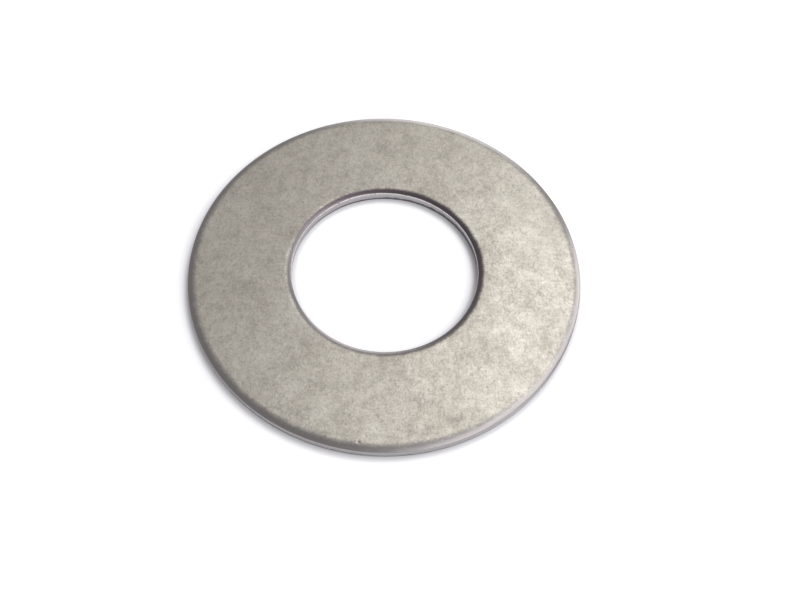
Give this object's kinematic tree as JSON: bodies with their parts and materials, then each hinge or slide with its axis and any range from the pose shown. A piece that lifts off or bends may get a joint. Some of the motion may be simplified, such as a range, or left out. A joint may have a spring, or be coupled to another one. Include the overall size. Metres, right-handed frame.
{
  "type": "shim ring",
  "caption": "Flat round steel shim ring with a plain central bore and rolled, tumbled edges, slipped over a bolt or shaft to take up end play.",
  "frame": {"origin": "on the ring's axis, in the flat bottom face that it rests on", "axes": "+Z is the ring's axis, from the burr side it rests on towards the rolled side"},
  "size_m": [0.036, 0.036, 0.0012],
  "materials": {
    "tumbled_steel": "tumbled stainless steel, dull satin with a fine speckled grain"
  },
  "bodies": {
    "root": {"shim_ring": "tumbled_steel"}
  },
  "joints": []
}
